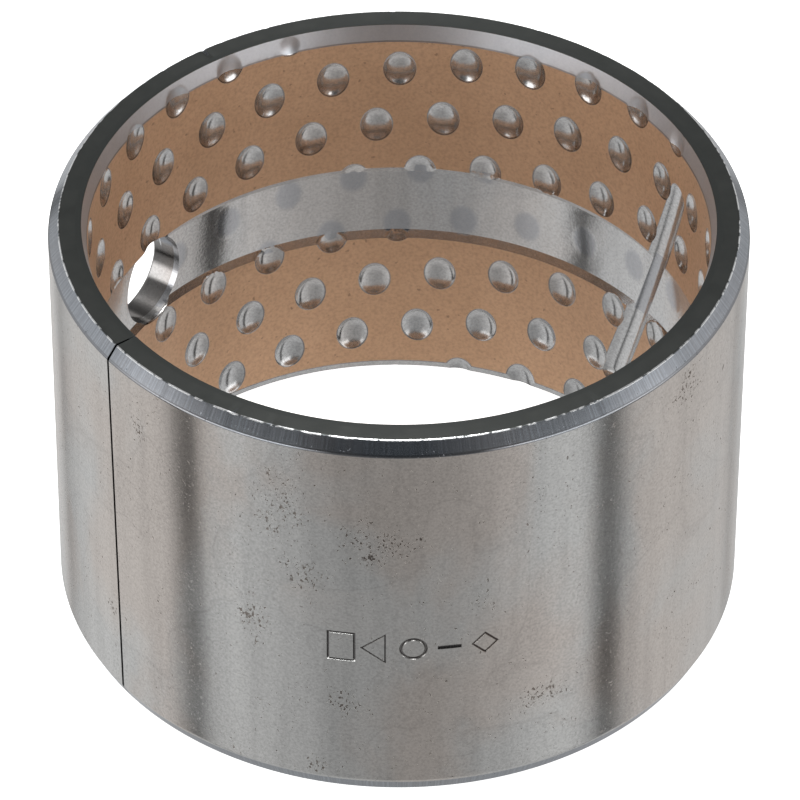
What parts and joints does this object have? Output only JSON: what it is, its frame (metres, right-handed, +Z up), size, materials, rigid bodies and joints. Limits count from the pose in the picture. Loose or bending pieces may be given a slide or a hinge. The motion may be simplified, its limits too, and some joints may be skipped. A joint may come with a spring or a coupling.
{
  "type": "wrapped bimetal plain bearing bush",
  "caption": "Rolled steel-backed bronze bearing bush with a butt seam, grease indents, a ring groove, a slanting oil groove and an oil hole.",
  "frame": {"origin": "centre of the lower end face, on the bore's axis", "axes": "+Z up the bore; the slanting oil groove is on the +X side, the oil hole on the -X side towards +Y, and the butt seam on the -X side towards -Y"},
  "size_m": [0.09, 0.09, 0.059],
  "materials": {
    "tinned_steel": "tin-flashed rolled steel, satin, stained in places",
    "lining_bronze": "bored tin bronze on the running surface, tin flash left in every recess"
  },
  "bodies": {
    "root": {"steel_back": "tinned_steel", "bronze_lining": "lining_bronze"}
  },
  "joints": []
}
